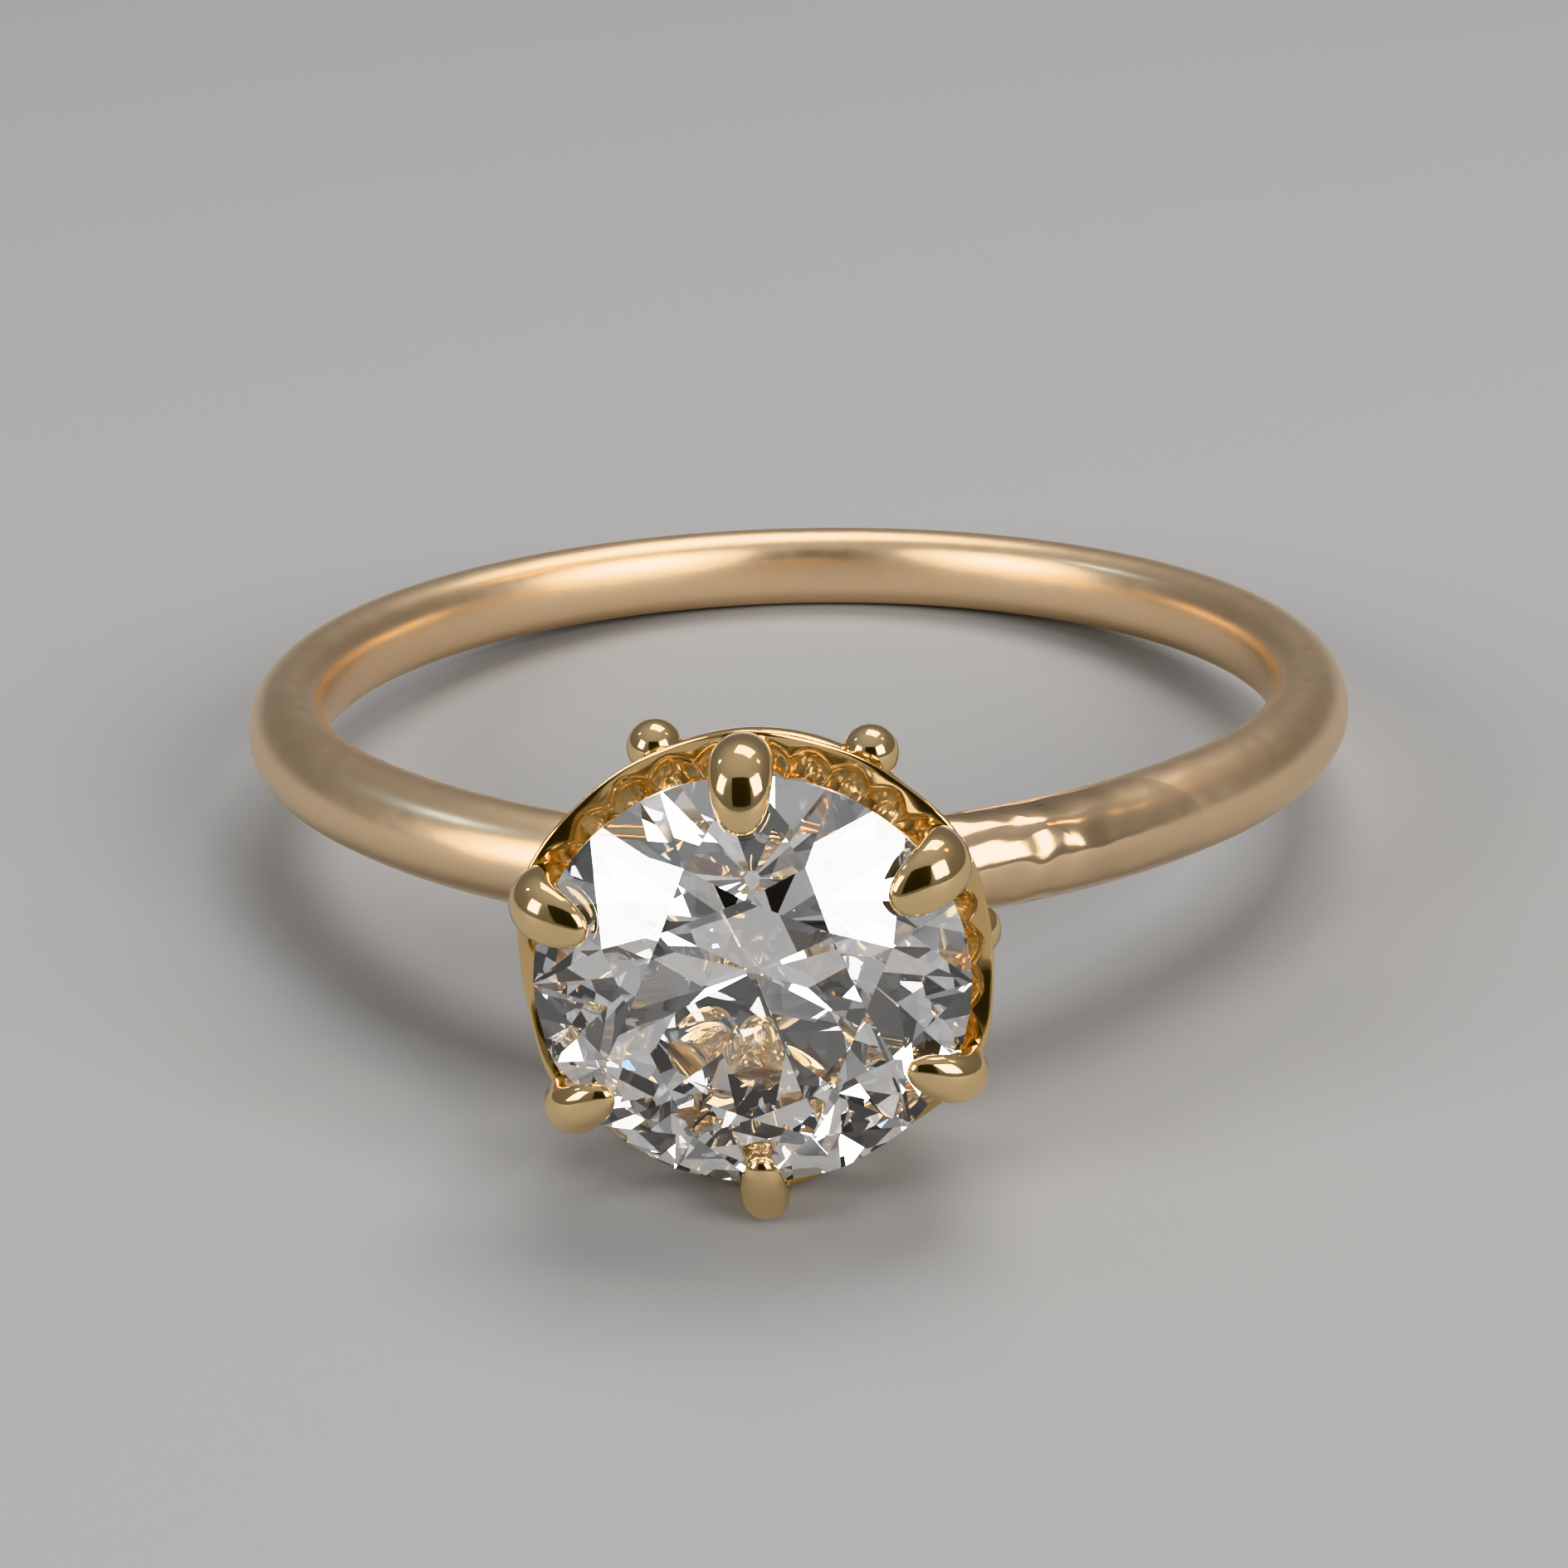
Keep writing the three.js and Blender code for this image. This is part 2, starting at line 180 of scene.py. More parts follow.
def christen(name):
    """Names the primitive that was just added, and bakes its place into its mesh."""
    piece = bpy.context.object
    piece.name = piece.data.name = name
    bpy.ops.object.transform_apply(location=True, rotation=True, scale=True)
    return piece


def open_up(piece, kind="VERT"):
    take(piece)
    bpy.ops.object.mode_set(mode="EDIT")
    bpy.ops.mesh.select_mode(type=kind)
    bpy.ops.mesh.select_all(action="SELECT")


def close_up():
    bpy.ops.object.mode_set(mode="OBJECT")


def pick(piece, wanted):
    """Selects the vertices whose place passes the test."""
    mesh = bmesh.from_edit_mesh(piece.data)
    for vertex in mesh.verts:
        vertex.select = bool(wanted(vertex.co))
    mesh.select_flush_mode()
    bmesh.update_edit_mesh(piece.data)


def finish_with(piece, kind, **settings):
    """Adds one modifier with its settings and applies it."""
    take(piece)
    modifier = piece.modifiers.new(kind.title(), kind)
    for name, value in settings.items():
        setattr(modifier, name, value)
    bpy.ops.object.modifier_apply(modifier=modifier.name)


def face_out(piece):
    open_up(piece)
    bpy.ops.mesh.remove_doubles(threshold=0.0005)
    bpy.ops.mesh.normals_make_consistent(inside=False)
    close_up()


def polish(piece, angle=40):
    take(piece)
    bpy.ops.object.shade_smooth_by_angle(angle=math.radians(angle))


def cut_by(piece, cutter, operation="DIFFERENCE"):
    finish_with(piece, "BOOLEAN", object=cutter, operation=operation, solver="EXACT")


def discard(*pieces):
    for piece in pieces:
        bpy.data.objects.remove(piece)


def copy_of(piece, name):
    twin = piece.copy()
    twin.data = piece.data.copy()
    twin.name = twin.data.name = name
    bpy.context.scene.collection.objects.link(twin)
    return twin


def turned(piece, angle, breadth=1):
    """Turns a finished piece about the stone's axis, once it has been made broader or slimmer."""
    take(piece)
    piece.scale = (1, breadth, 1)
    piece.rotation_euler = (0, 0, math.radians(angle))
    bpy.ops.object.transform_apply(location=True, rotation=True, scale=True)
    return piece


def lay_down(piece, node, finish):
    """Lays a finished piece where its CAD node is, with its finish."""
    take(piece)
    piece.matrix_world = HEAD
    bpy.ops.object.transform_apply(location=True, rotation=True, scale=True)
    piece.data.materials.clear()
    for coat in finish if isinstance(finish, tuple) else (finish,):
        piece.data.materials.append(coat)
    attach(piece, "root")
    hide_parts(node)
    return piece


# ---- finishes ----

def new_finish(name):
    material = bpy.data.materials.new(name)
    material.use_nodes = True
    nodes = material.node_tree.nodes
    return material, nodes, material.node_tree.links.new, nodes["Principled BSDF"]


def add_noise(nodes, link, scale, detail, roughness=0.5, stretch=(1, 1, 1)):
    """A noise pattern fixed to the piece; scale is in features per metre."""
    place = nodes.new("ShaderNodeTexCoord")
    mapping = nodes.new("ShaderNodeMapping")
    mapping.inputs["Scale"].default_value = stretch
    noise = nodes.new("ShaderNodeTexNoise")
    noise.inputs["Scale"].default_value = scale
    noise.inputs["Detail"].default_value = detail
    noise.inputs["Roughness"].default_value = roughness
    link(place.outputs["Object"], mapping.inputs["Vector"])
    link(mapping.outputs["Vector"], noise.inputs["Vector"])
    return noise


def remap(nodes, link, source, low, high, start=0.3, end=0.7):
    """Spreads a pattern's usual range over low to high."""
    spread = nodes.new("ShaderNodeMapRange")
    spread.inputs["From Min"].default_value = start
    spread.inputs["From Max"].default_value = end
    spread.inputs["To Min"].default_value = low
    spread.inputs["To Max"].default_value = high
    link(source, spread.inputs["Value"])
    return spread.outputs["Result"]


def add_bump(nodes, link, height, strength, distance):
    """Raises the surface by a pattern, to a height in millimetres."""
    bump = nodes.new("ShaderNodeBump")
    bump.inputs["Strength"].default_value = strength
    bump.inputs["Distance"].default_value = distance * MM
    link(height, bump.inputs["Height"])
    return bump


def burnish(nodes, link, roughness, bump, start, end):
    """Ripples and brightens a finish, growing from one level along Y to another."""
    place = nodes.new("ShaderNodeTexCoord")
    axes = nodes.new("ShaderNodeSeparateXYZ")
    link(place.outputs["Object"], axes.inputs["Vector"])
    burnished = remap(nodes, link, axes.outputs["Y"], 0, 1, start * MM, end * MM)
    ripples = add_noise(nodes, link, 900, 1, 0.4)
    swell = nodes.new("ShaderNodeMath")
    swell.operation = "MULTIPLY"
    link(ripples.outputs["Fac"], swell.inputs[0])
    link(burnished, swell.inputs[1])
    rippled = add_bump(nodes, link, swell.outputs["Value"], 0.8, 0.3)
    link(bump.outputs["Normal"], rippled.inputs["Normal"])
    brighter = nodes.new("ShaderNodeMix")
    brighter.inputs["B"].default_value = 0.12
    link(burnished, brighter.inputs["Factor"])
    link(roughness, brighter.inputs["A"])
    return brighter.outputs["Result"], rippled


def gold_finish(name, tones, low_roughness, high_roughness, dent, worked=None):
    """Polished yellow gold between two tones, with the hairlines of hand polishing.

    A worked piece is burnished as well, between the two levels that are given."""
    material, nodes, link, shader = new_finish(name)
    shader.inputs["Metallic"].default_value = 1.0
    clouds = add_noise(nodes, link, 600, 3)
    tone = nodes.new("ShaderNodeMix")
    tone.data_type = "RGBA"
    tone.inputs["A"].default_value, tone.inputs["B"].default_value = tones
    link(clouds.outputs["Fac"], tone.inputs["Factor"])
    link(tone.outputs["Result"], shader.inputs["Base Color"])
    wear = add_noise(nodes, link, 2600, 4, 0.6)
    roughness = remap(nodes, link, wear.outputs["Fac"], low_roughness, high_roughness)
    hairlines = add_noise(nodes, link, 9000, 2, 0.5, (1, 0.25, 1))
    bump = add_bump(nodes, link, hairlines.outputs["Fac"], dent, 0.01)
    if worked:
        roughness, bump = burnish(nodes, link, roughness, bump, *worked)
    link(roughness, shader.inputs["Roughness"])
    link(bump.outputs["Normal"], shader.inputs["Normal"])
    return material


def diamond_finish():
    """Clear, near-colourless diamond with the faintest uneven tint."""
    material, nodes, link, shader = new_finish("diamond")
    shader.inputs["IOR"].default_value = 2.417
    shader.inputs["Transmission Weight"].default_value = 1.0
    shader.inputs["Roughness"].default_value = 0.0
    veil = add_noise(nodes, link, 400, 2)
    tint = nodes.new("ShaderNodeMix")
    tint.data_type = "RGBA"
    tint.inputs["A"].default_value = (0.985, 0.985, 0.985, 1)
    tint.inputs["B"].default_value = (1.0, 0.995, 0.985, 1)
    link(veil.outputs["Fac"], tint.inputs["Factor"])
    link(tint.outputs["Result"], shader.inputs["Base Color"])
    return material


def girdle_finish():
    """The unpolished, frosted edge of the stone."""
    material, nodes, link, shader = new_finish("bruted_girdle")
    shader.inputs["IOR"].default_value = 2.417
    shader.inputs["Transmission Weight"].default_value = 1.0
    grain = add_noise(nodes, link, 30000, 2)
    link(remap(nodes, link, grain.outputs["Fac"], 0.25, 0.45), shader.inputs["Roughness"])
    shader.inputs["Base Color"].default_value = (0.96, 0.96, 0.96, 1)
    return material


# ---- hoop and shoulders ----

def hoop_section(name, angle):
    """The bar's cross-section, filled, at an angle from the head, positive towards +X."""
    clear_selection()
    bpy.ops.mesh.primitive_circle_add(
        vertices=BAR_SIDES, radius=1, fill_type="NGON", rotation=(0, math.pi / 2, 0))
    section = christen(name)
    open_up(section)
    bpy.ops.transform.resize(value=(1, BAR_WIDTH / 2, OUTER_BULGE))
    for share in sorted({round(-vertex.co.z, 5) for vertex in section.data.vertices}):
        depth = share * OUTER_BULGE
        if share > 0:
            lift = depth * (1 - INNER_FLATTENING ** (share * share))
            pick(section, lambda at: abs(at.z + depth) < 1e-4)
            bpy.ops.transform.translate(value=(0, 0, lift))
    bpy.ops.mesh.select_all(action="SELECT")
    bpy.ops.transform.translate(value=(0, 0, HOOP_RADIUS))
    close_up()
    take(section)
    section.rotation_euler = (0, math.radians(angle), 0)
    bpy.ops.object.transform_apply(location=True, rotation=True, scale=True)
    return section


def hoop_bar(name, start, end, steps):
    """A stretch of hoop, spun about the finger from one angle to another."""
    bar = hoop_section(name, start)
    open_up(bar)
    bpy.ops.mesh.spin(
        steps=steps, angle=math.radians(start - end), center=(0, 0, 0), axis=(0, 1, 0))
    bpy.ops.mesh.select_all(action="SELECT")
    close_up()
    face_out(bar)
    return bar


def hoop_angle(at):
    """A point's angle round the hoop, from the head, in degrees."""
    return math.degrees(math.atan2(at.x, at.z))


def make_shoulder(name, side, collet_block):
    """A stretch of bar that sweeps out to meet the collet's side."""
    span = SHOULDER_START - SHOULDER_END
    bar = hoop_bar(name, side * SHOULDER_START, side * SHOULDER_END, SHOULDER_STEPS)
    open_up(bar)
    for step in range(1, SHOULDER_STEPS + 1):
        share = step / SHOULDER_STEPS
        angle = side * (SHOULDER_START - span * share)
        rise = SHOULDER_RISE * share ** SHOULDER_SWEEP
        outward = Vector((math.sin(math.radians(angle)), 0, math.cos(math.radians(angle))))
        pick(bar, lambda at: abs(hoop_angle(at) - angle) < span / SHOULDER_STEPS / 4)
        bpy.ops.transform.translate(value=rise * outward)
    close_up()
    cut_by(bar, collet_block)
    return bar


# ---- stone ----

def stone_point(radius, angle, height):
    """A point of the stone by radius, direction and height over the girdle's middle."""
    turn = math.radians(angle)
    return Vector((radius * math.cos(turn), radius * math.sin(turn), GIRDLE_LEVEL + height))


def grind(first, second, third):
    """Grinds the opened stone flat to the plane through three of its points."""
    normal = (second - first).cross(third - first).normalized()
    if normal.dot(first - Vector((0, 0, GIRDLE_LEVEL))) < 0:
        normal.negate()
    bpy.ops.mesh.select_all(action="SELECT")
    bpy.ops.mesh.bisect(
        plane_co=first, plane_no=normal, use_fill=True, clear_outer=True, threshold=0.0001)


def make_stone(name):
    """A round old-style brilliant, ground facet by facet from a disc."""
    flat = math.cos(math.radians(180 / FACET_FOLD))
    star_radius = TABLE_RADIUS * flat + STAR_LENGTH * (STONE_RADIUS - TABLE_RADIUS * flat)
    crown_slope = CROWN_HEIGHT / (STONE_RADIUS - TABLE_RADIUS)
    star_height = HALF_GIRDLE + crown_slope * (STONE_RADIUS - star_radius * flat)
    lower_radius = STONE_RADIUS * (1 - LOWER_HALF_LENGTH)
    pavilion_slope = PAVILION_DEPTH / STONE_RADIUS
    lower_height = -HALF_GIRDLE - pavilion_slope * (STONE_RADIUS - lower_radius * flat)
    table = HALF_GIRDLE + CROWN_HEIGHT
    culet = -HALF_GIRDLE - PAVILION_DEPTH + pavilion_slope * CULET_RADIUS
    clear_selection()
    bpy.ops.mesh.primitive_cylinder_add(
        vertices=96, radius=STONE_RADIUS, depth=2 * PAVILION_DEPTH + 2,
        location=(0, 0, GIRDLE_LEVEL))
    stone = christen(name)
    open_up(stone)
    grind(*(stone_point(1, angle, table) for angle in (0, 90, 180)))
    grind(*(stone_point(1, angle, culet) for angle in (0, 90, 180)))
    fold = 360 / FACET_FOLD
    for main in (fold * i for i in range(FACET_FOLD)):
        following, middle, before = main + fold, main + fold / 2, main - fold / 2
        star = stone_point(star_radius, middle, star_height)
        lower = stone_point(lower_radius, middle, lower_height)
        grind(stone_point(TABLE_RADIUS, main, table), star,
              stone_point(star_radius, before, star_height))
        grind(stone_point(TABLE_RADIUS, main, table),
              stone_point(TABLE_RADIUS, following, table), star)
        grind(lower, stone_point(lower_radius, before, lower_height),
              stone_point(STONE_RADIUS, main, -HALF_GIRDLE))
        for side in (main, following):
            grind(star, stone_point(STONE_RADIUS, side, HALF_GIRDLE),
                  stone_point(STONE_RADIUS, middle, HALF_GIRDLE))
            grind(lower, stone_point(STONE_RADIUS, side, -HALF_GIRDLE),
                  stone_point(STONE_RADIUS, middle, -HALF_GIRDLE))
    close_up()
    face_out(stone)
    return stone


def is_girdle(face):
    """True for the faces of the stone's upright edge."""
    return abs(face.normal.dot(STONE_AXIS)) < 0.05


# ---- head ----

def turned_block(name, radii):
    """A closed round block through (radius, level) pairs, from the bottom up."""
    clear_selection()
    first_radius, first_level = radii[0]
    bpy.ops.mesh.primitive_circle_add(
        vertices=96, radius=first_radius, fill_type="NGON", location=(0, 0, first_level))
    block = christen(name)
    open_up(block)
    for (radius, level), (next_radius, next_level) in zip(radii, radii[1:]):
        bpy.ops.mesh.extrude_region_move(
            TRANSFORM_OT_translate={"value": (0, 0, next_level - level)})
        share = next_radius / radius
        bpy.ops.transform.resize(value=(share, share, 1), center_override=(0, 0, next_level))
    close_up()
    face_out(block)
    return block


def make_collet(name):
    """The tapered tube under the stone that closes the hoop, hollowed to the finger."""
    collet = turned_block(name, [
        (COLLET_RADIUS, FINGER_RADIUS - 1),
        (COLLET_RADIUS, HOOP_OUTER - COLLET_NECK),
        (COLLET_RADIUS + COLLET_FILLET, HOOP_OUTER),
        (COLLET_RIM, COLLET_TOP - COLLET_EDGE - COLLET_EDGE_DROP),
        (COLLET_RIM, COLLET_TOP - COLLET_EDGE_DROP),
        (COLLET_RIM - COLLET_EDGE, COLLET_TOP)])
    hole = turned_block("collet_hole", [
        (COLLET_HOLE_RADIUS, FINGER_RADIUS - 2),
        (COLLET_HOLE_RADIUS + COLLET_FLARE, COLLET_TOP + 0.5)])
    cut_by(collet, hole)
    clear_selection()
    bpy.ops.mesh.primitive_cylinder_add(
        vertices=256, radius=FINGER_RADIUS, depth=4 * COLLET_RADIUS, rotation=(math.pi / 2, 0, 0))
    finger = christen("finger")
    cut_by(collet, finger)
    discard(hole, finger)
    return collet


def make_claw(name):
    """One claw, drawn out station by station from its foot and rounded over the stone."""
    places = [Vector((radius, 0, GIRDLE_LEVEL + level)) for radius, level, _, _ in CLAW_STATIONS]
    leans = []
    for i in range(len(places)):
        ahead = places[min(i + 1, len(places) - 1)] - places[max(i - 1, 0)]
        leans.append(math.atan2(ahead.x, ahead.z))
    clear_selection()
    bpy.ops.mesh.primitive_circle_add(vertices=CLAW_SIDES, radius=0.5, fill_type="NGON")
    claw = christen(name)
    open_up(claw)
    at, lean, width, thickness = Vector((0, 0, 0)), 0, 1, 1
    for i, (place, next_lean) in enumerate(zip(places, leans)):
        if i:
            bpy.ops.mesh.extrude_region_move(TRANSFORM_OT_translate={"value": (0, 0, 0)})
        next_width, next_thickness = CLAW_STATIONS[i][2:]
        along = Matrix.Rotation(lean, 3, "Y")
        bpy.ops.transform.resize(
            value=(next_thickness / thickness, next_width / width, 1),
            orient_type="GLOBAL", orient_matrix=along, orient_matrix_type="GLOBAL",
            center_override=at)
        bpy.ops.transform.rotate(
            value=lean - next_lean, orient_axis="Y", orient_type="GLOBAL", center_override=at)
        bpy.ops.transform.translate(value=place - at)
        at, lean, width, thickness = place, next_lean, next_width, next_thickness
    close_up()
    face_out(claw)
    finish_with(claw, "SUBSURF", levels=3, render_levels=3)
    return claw


def make_rail(name):
    """The wire ring behind the claws, a little taller than it is thick."""
    clear_selection()
    bpy.ops.mesh.primitive_torus_add(
        major_radius=RAIL_RADIUS, minor_radius=RAIL_THICKNESS / 2,
        major_segments=144, minor_segments=20, location=(0, 0, RAIL_LEVEL))
    rail = christen(name)
    open_up(rail)
    bpy.ops.transform.resize(
        value=(1, 1, RAIL_HEIGHT / RAIL_THICKNESS), center_override=(0, 0, RAIL_LEVEL))
    close_up()
    return rail


def make_bead(name):
    """A round grain, slightly flattened towards the rail that it sits on."""
    clear_selection()
    out = RAIL_RADIUS + BEAD_STANDOFF
    bpy.ops.mesh.primitive_uv_sphere_add(
        segments=40, ring_count=20, radius=BEAD_RADIUS, location=(out, 0, RAIL_LEVEL))
    bead = christen(name)
    open_up(bead)
    flat = out - BEAD_FLAT * BEAD_RADIUS
    pick(bead, lambda at: at.x < flat)
    bpy.ops.transform.resize(value=(BEAD_FLATTENING, 1, 1), center_override=(flat, 0, 0))
    close_up()
    return bead


def spans():
    """Each pair of neighbouring claws' directions."""
    return zip(CLAW_ANGLES, CLAW_ANGLES[1:] + (CLAW_ANGLES[0] + 360,))


def span_share(angle):
    """How far round its span a direction lies: 0 or 1 at a claw, a half midway."""
    for left, right in spans():
        past = (angle - left) % 360
        if past < right - left:
            return past / (right - left)
    return 0


def sorted_by(piece, phase_of):
    """The vertices of a piece, gathered by a phase that is worked out from their place."""
    groups = {}
    for vertex in piece.data.vertices:
        groups.setdefault(phase_of(vertex.co), set()).add(vertex.index)
    return groups


def pick_numbered(piece, wanted):
    mesh = bmesh.from_edit_mesh(piece.data)
    for vertex in mesh.verts:
        vertex.select = vertex.index in wanted
    mesh.select_flush_mode()
    bmesh.update_edit_mesh(piece.data)


def make_wall(name):
    """The scalloped band that ties the claws together, with grooves down its inside."""
    top = GIRDLE_LEVEL - WALL_PEAK
    base = GIRDLE_LEVEL - WALL_DROP
    tall = top - base
    outer = STONE_RADIUS + WALL_OVERHANG
    middle = Vector((outer - WALL_THICKNESS / 2, 0, (top + base) / 2))
    clear_selection()
    bpy.ops.mesh.primitive_plane_add(size=1, location=middle, rotation=(math.pi / 2, 0, 0))
    wall = christen(name)
    open_up(wall)
    bpy.ops.transform.resize(value=(WALL_THICKNESS, 1, tall), center_override=middle)
    bpy.ops.mesh.delete(type="ONLY_FACE")
    pick(wall, lambda at: at.z < middle.z)
    shrink = 1 - WALL_FLARE * tall / STONE_RADIUS
    bpy.ops.transform.resize(value=(shrink, 1, 1), center_override=(0, 0, base))
    pick(wall, lambda at: at.z < middle.z and at.x < middle.x * shrink)
    bpy.ops.transform.translate(value=((WALL_FLARE - WALL_INNER_FLARE) * tall, 0, 0))
    pick(wall, lambda at: at.z > middle.z)
    bpy.ops.mesh.bevel(offset=RIM_ROUNDING, segments=4, affect="VERTICES")
    close_up()
    turned(wall, CLAW_ANGLES[0])
    open_up(wall)
    for left, right in spans():
        bpy.ops.mesh.spin(
            steps=SPAN_STEPS, angle=math.radians(left - right), center=(0, 0, 0), axis=(0, 0, 1))
    close_up()
    face_out(wall)

    def bearing(at):
        return span_share(math.degrees(math.atan2(at.y, at.x)))

    def span_phase(at):
        step = round(bearing(at) * SPAN_STEPS)
        return min(step, SPAN_STEPS - step)

    def flute_phase(at):
        middle_radius = outer - WALL_THICKNESS / 2 - WALL_FLARE * (top - at.z)
        if math.hypot(at.x, at.y) > middle_radius:
            return None
        step = round(bearing(at) * SPAN_STEPS) % (SPAN_STEPS // FLUTES_PER_SPAN)
        return min(step, SPAN_STEPS // FLUTES_PER_SPAN - step)

    flutes = sorted_by(wall, flute_phase)
    sections = sorted_by(wall, span_phase)
    open_up(wall)
    for step, section in sections.items():
        near = math.cos(math.pi * step / SPAN_STEPS) ** 2
        grow = 1 + WALL_CORNER * near ** WALL_CORNER_SHARPNESS / outer
        drop = SCALLOP_DEPTH * (1 - near)
        pick_numbered(wall, section)
        bpy.ops.transform.resize(value=(grow, grow, 1 - drop / tall), center_override=(0, 0, base))
    for step, section in flutes.items():
        if step is None:
            continue
        hollow = math.sin(math.pi * step * FLUTES_PER_SPAN / SPAN_STEPS)
        grow = 1 + FLUTE_DEPTH * (hollow - 0.5) / (outer - WALL_THICKNESS)
        pick_numbered(wall, section)
        bpy.ops.transform.resize(value=(grow, grow, 1), center_override=(0, 0, 0))
    close_up()
    finish_with(wall, "SUBSURF", levels=1, render_levels=1)
    return wall


# ---- assembly ----

BRIGHT_TONES = ((0.88, 0.655, 0.365, 1), (0.91, 0.68, 0.39, 1))
# The wall's deeper tones are painted shade: the whole wall, rim included, is darkened for the
# shade that falls in the hollow under the stone.
PAINTED_SHADE_TONES = ((0.78, 0.54, 0.26, 1), (0.86, 0.62, 0.33, 1))
SATIN_TONES = ((0.87, 0.645, 0.42, 1), (0.90, 0.67, 0.44, 1))
GOLD = gold_finish("polished_gold", BRIGHT_TONES, 0.06, 0.11, 0.05)
SHADE_PAINTED_GOLD = gold_finish("shade_painted_wall_gold", PAINTED_SHADE_TONES, 0.08, 0.14, 0.05)
SATIN_GOLD = gold_finish("worn_gold", SATIN_TONES, 0.285, 0.33, 0.03)
WORKED_GOLD = gold_finish("worked_gold", SATIN_TONES, 0.285, 0.33, 0.03, worked=(-4.6, -6.2))
DIAMOND = diamond_finish()
FROSTED_GIRDLE = girdle_finish()

stone = make_stone("brilliant")
claw_model = make_claw("claw_model")
claws = [turned(copy_of(claw_model, f"claw_{i + 1}_cast"), angle, breadth)
         for i, (angle, breadth) in enumerate(zip(CLAW_ANGLES, CLAW_BREADTHS))]
discard(claw_model)
for claw in claws:
    cut_by(claw, stone)

# A solid collet trims the shoulders to where they meet its side.
collet_block = turned_block("collet_block", [
    (COLLET_RADIUS, 0), (COLLET_RADIUS, HOOP_OUTER - COLLET_NECK),
    (COLLET_RADIUS + COLLET_FILLET, HOOP_OUTER), (COLLET_RIM, COLLET_TOP)])
shank = hoop_bar("plain_shank", SHOULDER_START, 360 - SHOULDER_START, HOOP_STEPS)
shoulders = [make_shoulder("left_shoulder_bar", -1, collet_block),
             make_shoulder("right_shoulder_bar", 1, collet_block)]
discard(collet_block)
collet = make_collet("tapered_collet")
rail = make_rail("wire_rail")
wall = make_wall("fluted_wall")
bead_model = make_bead("bead_model")
beads = [turned(copy_of(bead_model, f"bead_{i + 1}_grain"), FIRST_BEAD_ANGLE + 60 * i)
         for i in range(6)]
discard(bead_model)

for piece, node, finish in [(shank, "shank", SATIN_GOLD),
                            (shoulders[0], "left_shoulder", SATIN_GOLD),
                            (shoulders[1], "right_shoulder", WORKED_GOLD)]:
    polish(piece)
    lay_down(piece, node, finish)
# The crown wall's finish carries painted shade, a darker base colour for the hollow under the
# stone.
for piece, node, finish in [(collet, "base_collet", GOLD), (rail, "gallery_rail", GOLD),
                            (wall, "crown_wall", SHADE_PAINTED_GOLD)]:
    polish(piece)
    lay_down(piece, node, finish)
for i in range(6):
    for piece, node in [(claws[i], f"claw_{i + 1}"), (beads[i], f"bead_{i + 1}")]:
        polish(piece)
        lay_down(piece, node, GOLD)
lay_down(stone, "centre_stone", (DIAMOND, FROSTED_GIRDLE))
for face in stone.data.polygons:
    face.material_index = int(is_girdle(face))


# ---- stage, in metres ----

RING_MIDDLE = Vector((0, 0, 0.004))


def lay_floor():
    """A plain pale floor under the ring."""
    clear_selection()
    bpy.ops.mesh.primitive_circle_add(vertices=128, radius=0.6, fill_type="NGON")
    floor = bpy.context.object
    floor.name = "floor"
    material, _, _, shader = new_finish("pale_card")
    shader.inputs["Roughness"].default_value = 0.85
    shader.inputs["Specular IOR Level"].default_value = 0.2
    shader.inputs["Base Color"].default_value = (0.29, 0.288, 0.284, 1)
    floor.data.materials.append(material)


def bearing_of(azimuth, elevation):
    """The direction from the ring at an azimuth off its front and an elevation."""
    turn, rise = math.radians(azimuth), math.radians(elevation)
    level = math.cos(rise)
    return Vector((math.sin(turn) * level, -math.cos(turn) * level, math.sin(rise)))


def hang_softbox(name, azimuth, elevation, distance, width, height, power, colour=(1, 1, 1)):
    """A soft light that faces the ring from a bearing."""
    clear_selection()
    away = bearing_of(azimuth, elevation)
    bpy.ops.object.light_add(type="AREA", location=away * distance + RING_MIDDLE)
    lamp = bpy.context.object
    lamp.name = name
    lamp.rotation_euler = away.to_track_quat("Z", "Y").to_euler()
    lamp.data.shape = "RECTANGLE"
    lamp.data.size, lamp.data.size_y = width, height
    lamp.data.energy = power
    lamp.data.color = colour


def hang_flag(name, azimuth, elevation, distance, width):
    """A dark card that the polished metal and the stone's facets reflect."""
    clear_selection()
    away = bearing_of(azimuth, elevation)
    bpy.ops.mesh.primitive_plane_add(
        size=width, location=away * distance, rotation=away.to_track_quat("Z", "Y").to_euler())
    flag = bpy.context.object
    flag.name = name
    material, _, _, shader = new_finish("dark_card")
    shader.inputs["Base Color"].default_value = (0.02, 0.02, 0.02, 1)
    shader.inputs["Roughness"].default_value = 0.9
    flag.data.materials.append(material)
    flag.visible_camera = False
    flag.visible_shadow = False


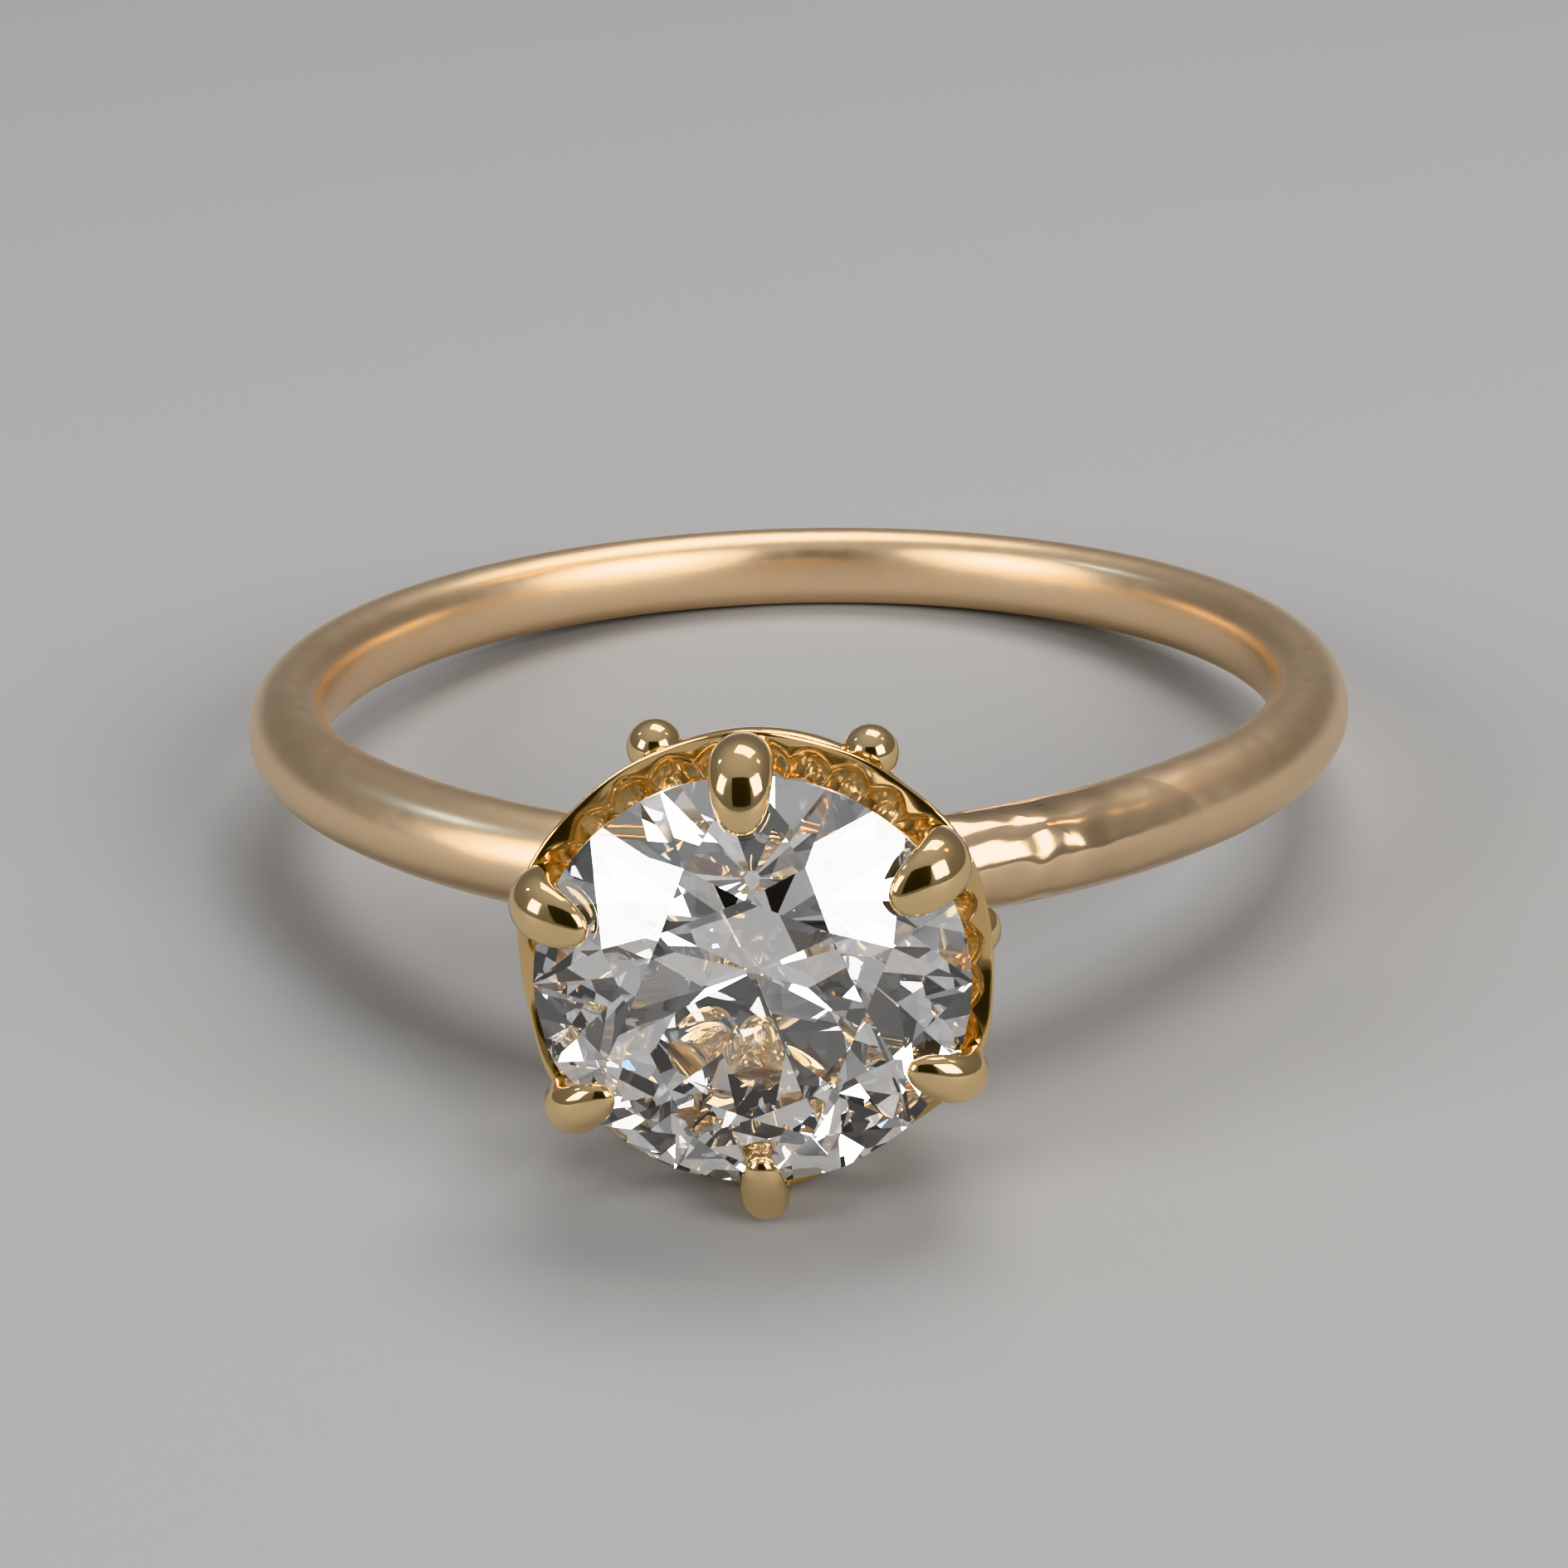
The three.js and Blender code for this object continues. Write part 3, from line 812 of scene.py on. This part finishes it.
def paint_sky():
    """Soft light that dims from the zenith down, with a plain backdrop for the camera."""
    world = bpy.data.worlds.new("studio")
    bpy.context.scene.world = world
    world.use_nodes = True
    nodes, link = world.node_tree.nodes, world.node_tree.links.new
    place = nodes.new("ShaderNodeTexCoord")
    axes = nodes.new("ShaderNodeSeparateXYZ")
    ramp = nodes.new("ShaderNodeValToRGB")
    ramp.color_ramp.elements[0].position = 0.0
    ramp.color_ramp.elements[0].color = (0.2, 0.2, 0.205, 1)
    ramp.color_ramp.elements[1].position = 1.0
    ramp.color_ramp.elements[1].color = (0.5, 0.5, 0.508, 1)
    middle = ramp.color_ramp.elements.new(0.45)
    middle.color = (0.24, 0.24, 0.245, 1)
    link(place.outputs["Generated"], axes.inputs["Vector"])
    link(axes.outputs["Z"], ramp.inputs["Fac"])
    studio = nodes["Background"]
    link(ramp.outputs["Color"], studio.inputs["Color"])
    backdrop = nodes.new("ShaderNodeBackground")
    backdrop.inputs["Color"].default_value = (0.26, 0.258, 0.255, 1)
    seen = nodes.new("ShaderNodeLightPath")
    mix = nodes.new("ShaderNodeMixShader")
    link(seen.outputs["Is Camera Ray"], mix.inputs["Fac"])
    link(studio.outputs["Background"], mix.inputs[1])
    link(backdrop.outputs["Background"], mix.inputs[2])
    link(mix.outputs["Shader"], nodes["World Output"].inputs["Surface"])


CAMERA_TARGET = Vector((-0.2906, 0, -1.7502))
CAMERA_AZIMUTH = 3.377
CAMERA_ELEVATION = 18.756
CAMERA_ROLL = -1.525
CAMERA_DISTANCE = 55.742
CAMERA_LENS = 69.755


def set_camera():
    """The camera, placed about the hoop: X across, Y away from the stone, Z along the finger."""
    clear_selection()
    bpy.ops.object.camera_add()
    camera = bpy.context.object
    hoop = axes_at(SIDE_AXIS, -STONE_AXIS, FINGER_AXIS, RING_CENTRE) @ Matrix.Scale(MM, 4)
    stand = (hoop @ Matrix.Translation(CAMERA_TARGET)
             @ Matrix.Rotation(math.radians(CAMERA_AZIMUTH), 4, "Z")
             @ Matrix.Rotation(math.radians(90 - CAMERA_ELEVATION), 4, "X")
             @ Matrix.Rotation(math.radians(CAMERA_ROLL), 4, "Z")
             @ Matrix.Translation((0, 0, CAMERA_DISTANCE)))
    camera.location = stand.to_translation()
    camera.rotation_euler = stand.to_euler()
    camera.data.sensor_width = 36
    camera.data.lens = CAMERA_LENS
    camera.data.clip_start = 0.001
    bpy.context.scene.camera = camera


lay_floor()
hang_softbox("right_window", 48, 27, 0.30, 0.16, 0.16, 0.9)
hang_softbox("left_window", -56, 24, 0.30, 0.12, 0.14, 0.6)
hang_softbox("overhead", 160, 68, 0.34, 0.22, 0.16, 0.8)
hang_softbox("cool_spark", -104, 40, 0.30, 0.02, 0.03, 0.025, (0.4, 0.68, 1.0))
hang_softbox("warm_spark", 100, 48, 0.30, 0.02, 0.03, 0.04, (1.0, 0.62, 0.25))
hang_flag("front_flag", 2, 26, 0.22, 0.17)
paint_sky()
set_camera()

scene = bpy.context.scene
scene.cycles.max_bounces = 28
scene.cycles.transmission_bounces = 24
scene.cycles.glossy_bounces = 10
scene.view_settings.view_transform = "Khronos PBR Neutral"
